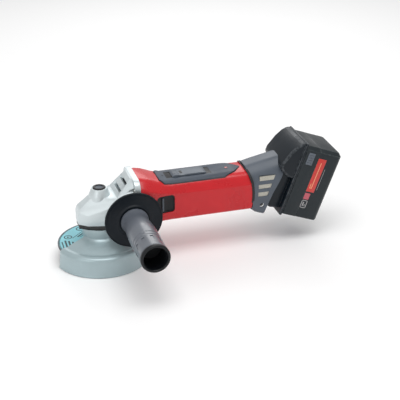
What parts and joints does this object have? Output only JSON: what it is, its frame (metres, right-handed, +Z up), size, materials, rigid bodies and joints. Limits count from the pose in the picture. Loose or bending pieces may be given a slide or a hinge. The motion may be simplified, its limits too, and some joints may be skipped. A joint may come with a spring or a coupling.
{
  "type": "angle grinder",
  "caption": "Cordless angle grinder with a bevel gear head, half guard, disc, thumb slide switch, side handle and a tilted slide-on battery.",
  "frame": {"origin": "centre of the spindle's free end face, on the spindle's axis", "axes": "+Z up the spindle through the lock button, +X from the gear head to the battery, side handle towards -Y"},
  "size_m": [0.4208, 0.2315, 0.1529],
  "materials": {
    "cast_aluminium": "satin",
    "black_casting": "satin",
    "steel": "satin",
    "dark_steel": "satin",
    "zinc_screw": "satin",
    "guard_paint": "satin",
    "disc_abrasive": "matte",
    "bronze": "satin",
    "copper": "satin",
    "red_plastic": "satin",
    "black_plastic": "matte",
    "grey_plastic": "matte",
    "soft_panel": "matte",
    "slider_grey": "satin",
    "black_rubber": "matte",
    "grip_rubber": "matte",
    "red_lens": "gloss",
    "circuit_board": "satin",
    "filter_mesh": "matte",
    "battery_plastic": "matte",
    "cell_sleeve": "satin",
    "red_label": "satin",
    "carbon": "matte",
    "ferrite": "matte",
    "grey_button": "satin"
  },
  "bodies": {
    "housing": {"gear_housing": "cast_aluminium", "bearing_plate": "black_casting", "plate_screws": "zinc_screw", "head_screws": "dark_steel", "spindle_bush": "bronze", "lower_bearing_outer": "steel", "lock_spring": "steel", "motor_housing": "red_plastic", "air_baffle": "black_plastic", "motor_can": "steel", "magnets": "ferrite", "front_bearing_outer": "steel", "rear_bearing": "steel", "motor_end_plate": "black_plastic", "brush_holders": "bronze", "carbon_brushes": "carbon", "brush_springs": "steel", "top_panel": "soft_panel", "switch_module": "black_plastic", "led_lens": "red_lens", "electronics_module": "circuit_board", "side_vent_right": "black_plastic", "side_vent_left": "black_plastic", "sealing_ring": "black_rubber", "tail_cover_right": "grey_plastic", "tail_cover_left": "grey_plastic", "tail_screws": "dark_steel", "dust_filters": "filter_mesh", "battery_foot": "battery_plastic", "terminal_block": "black_plastic", "handle_stud": "steel", "handle_core": "black_plastic", "handle_grip": "grip_rubber", "handle_cap": "black_plastic"},
    "spindle_unit": {"spindle": "steel", "crown_gear": "dark_steel", "lower_bearing_inner": "steel", "inner_flange": "steel", "clamp_nut": "dark_steel", "grinding_disc": "disc_abrasive"},
    "rotor": {"armature_shaft": "steel", "pinion_gear": "dark_steel", "armature_core": "dark_steel", "armature_windings": "copper", "commutator": "copper", "fan": "black_plastic", "front_bearing_inner": "steel"},
    "lock": {"lock_button": "grey_button", "lock_pin": "steel"},
    "guard_ring": {"guard": "guard_paint", "guard_clamp_bolt": "zinc_screw"},
    "switch": {"switch_slider": "slider_grey", "switch_rod": "black_plastic"},
    "battery": {"pack_rail_case": "battery_plastic", "pack_case": "battery_plastic", "pack_labels": "red_label", "pack_cells": "cell_sleeve", "pack_board": "circuit_board"},
    "release_right": {"release_button_right": "grey_button"},
    "release_left": {"release_button_left": "grey_button"}
  },
  "joints": [
    {"name": "spindle_spin", "type": "hinge", "parent": "housing", "child": "spindle_unit", "pos_m": [0, 0, 0], "axis": [0, 0, 1], "continuous": true},
    {"name": "motor_spin", "type": "hinge", "parent": "housing", "child": "rotor", "pos_m": [0, 0, 0.073], "axis": [1, 0, 0], "continuous": true},
    {"name": "lock_press", "type": "slide", "parent": "housing", "child": "lock", "axis": [0, 0, -1], "range_m": [0, 0.0042], "stiffness_N_per_m": 900, "deforming": ["lock_spring"]},
    {"name": "switch_slide", "type": "slide", "parent": "housing", "child": "switch", "axis": [-1, 0, 0], "range_m": [0, 0.008]},
    {"name": "guard_turn", "type": "hinge", "parent": "housing", "child": "guard_ring", "pos_m": [0, 0, 0], "axis": [0, 0, 1], "range_deg": [-90, 90]},
    {"name": "battery_slide", "type": "slide", "parent": "housing", "child": "battery", "axis": [0.3502, 0, 0.9367], "range_m": [0, 0.13]},
    {"name": "release_right_press", "type": "slide", "parent": "battery", "child": "release_right", "axis": [0, 1, 0], "range_m": [0, 0.0024], "stiffness_N_per_m": 1200},
    {"name": "release_left_press", "type": "slide", "parent": "battery", "child": "release_left", "axis": [0, -1, 0], "range_m": [0, 0.0024], "stiffness_N_per_m": 1200}
  ],
  "couplings": [
    {"joint": "motor_spin", "follows": "spindle_spin", "ratio": 2.75}
  ]
}
